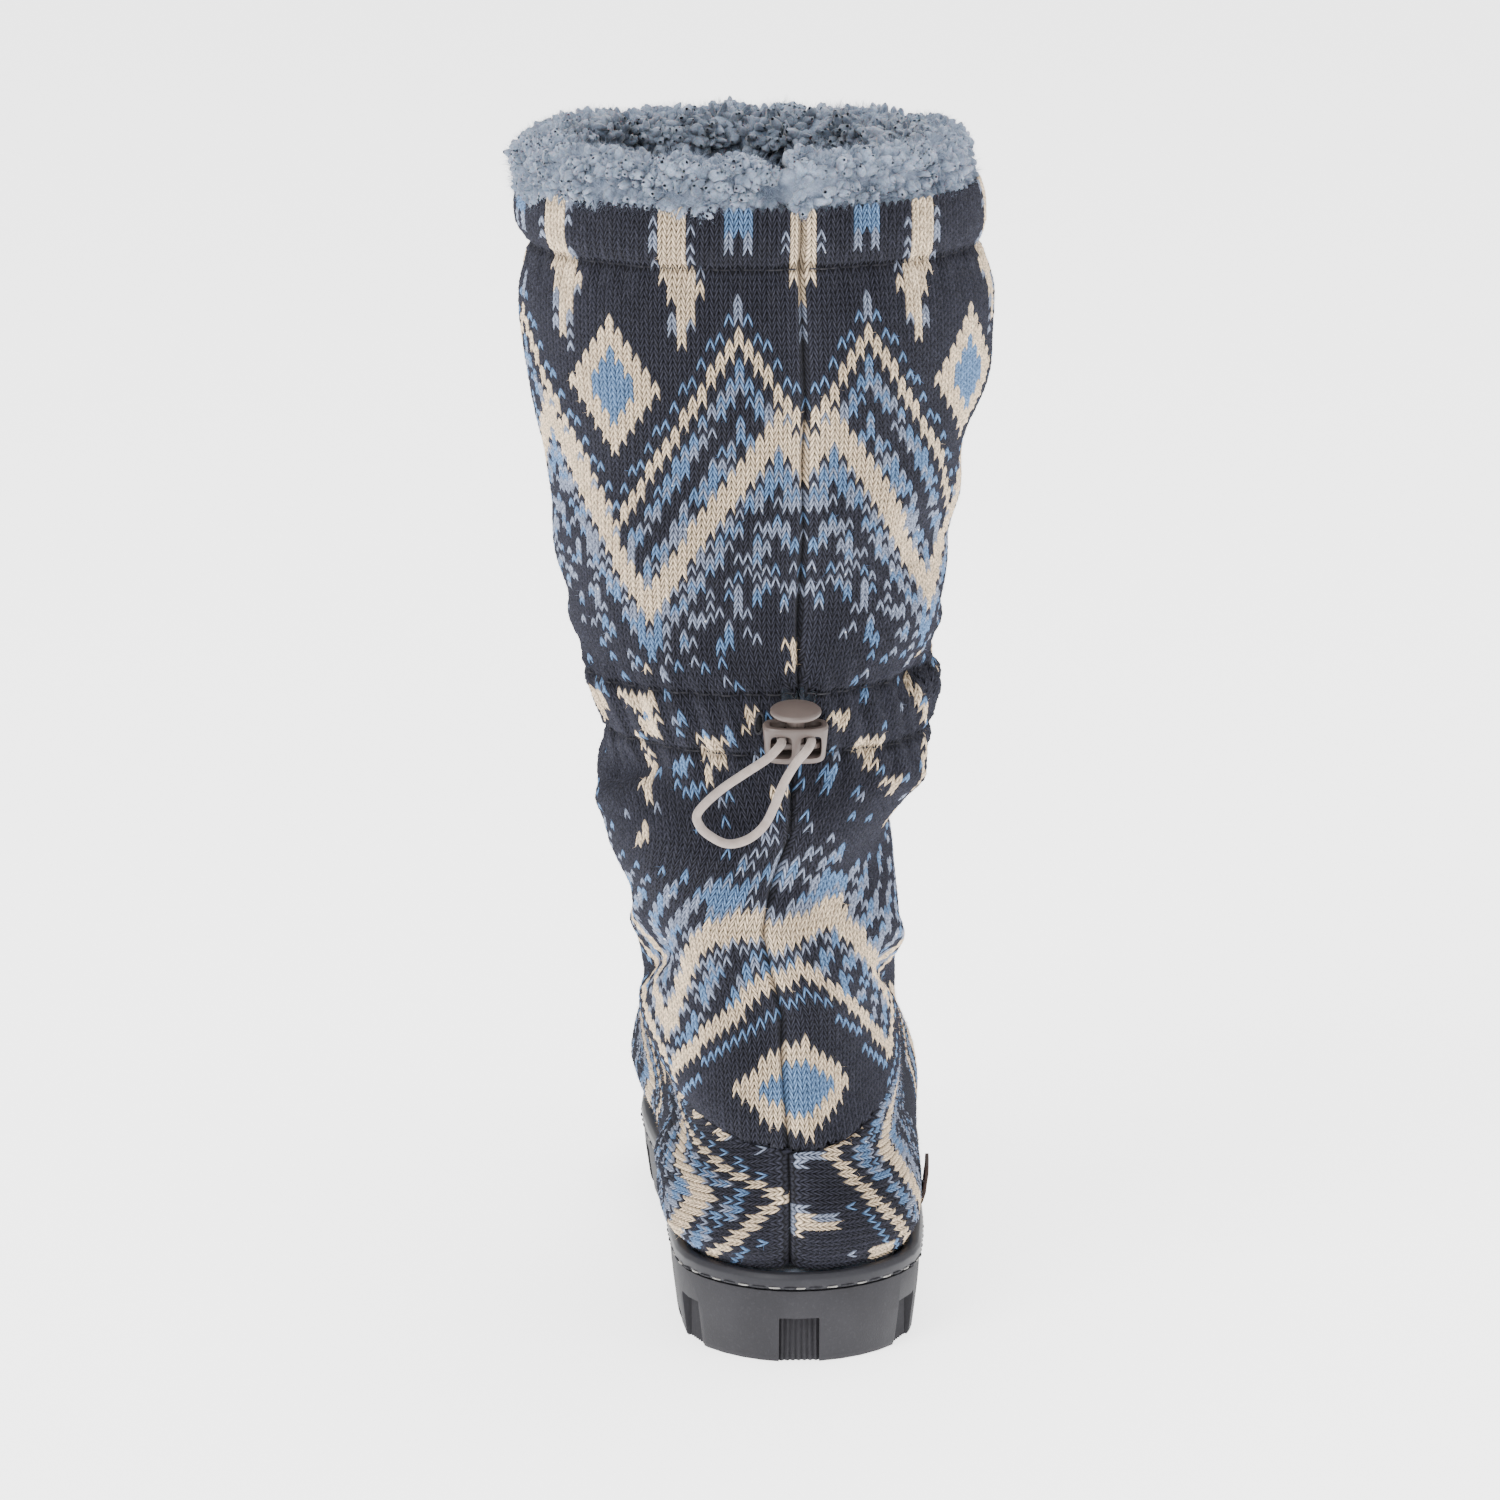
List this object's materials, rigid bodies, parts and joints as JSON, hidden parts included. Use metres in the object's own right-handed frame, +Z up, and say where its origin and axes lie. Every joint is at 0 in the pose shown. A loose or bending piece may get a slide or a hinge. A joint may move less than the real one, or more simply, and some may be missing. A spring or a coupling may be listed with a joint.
{
  "type": "bootie slipper",
  "caption": "Tall knit slipper boot for the right foot: lugged rubber sole, slack knit shaft, deep pile collar, and a drawcord with a sprung cord lock at the back.",
  "frame": {"origin": "on the ground under the heel, on the flat underside of the heel, 38 mm in front of its back", "axes": "+Y towards the toe, +X towards the outer side of the foot, +Z up the shaft"},
  "size_m": [0.1467, 0.285, 0.3798],
  "materials": {
    "rubber": "matt moulded",
    "footbed": "short pile",
    "knit": "patterned stocking stitch",
    "pile": "deep curled pile",
    "moulded": "satin moulded",
    "elastic": "braided elastic",
    "tab": "smooth"
  },
  "bodies": {
    "shoe": {"outsole": "rubber", "welt": "rubber", "insole": "footbed", "upper": "knit", "sherpa_collar": "pile", "cord_lock_body": "moulded", "drawcord": "elastic", "side_label": "tab"},
    "plunger": {"cord_lock_plunger": "moulded"}
  },
  "joints": [
    {"name": "button_press", "type": "slide", "parent": "shoe", "child": "plunger", "axis": [0, 0.1736, -0.9848], "range_m": [0, 0.0024], "stiffness_N_per_m": 600, "springref_m": -0.002}
  ]
}
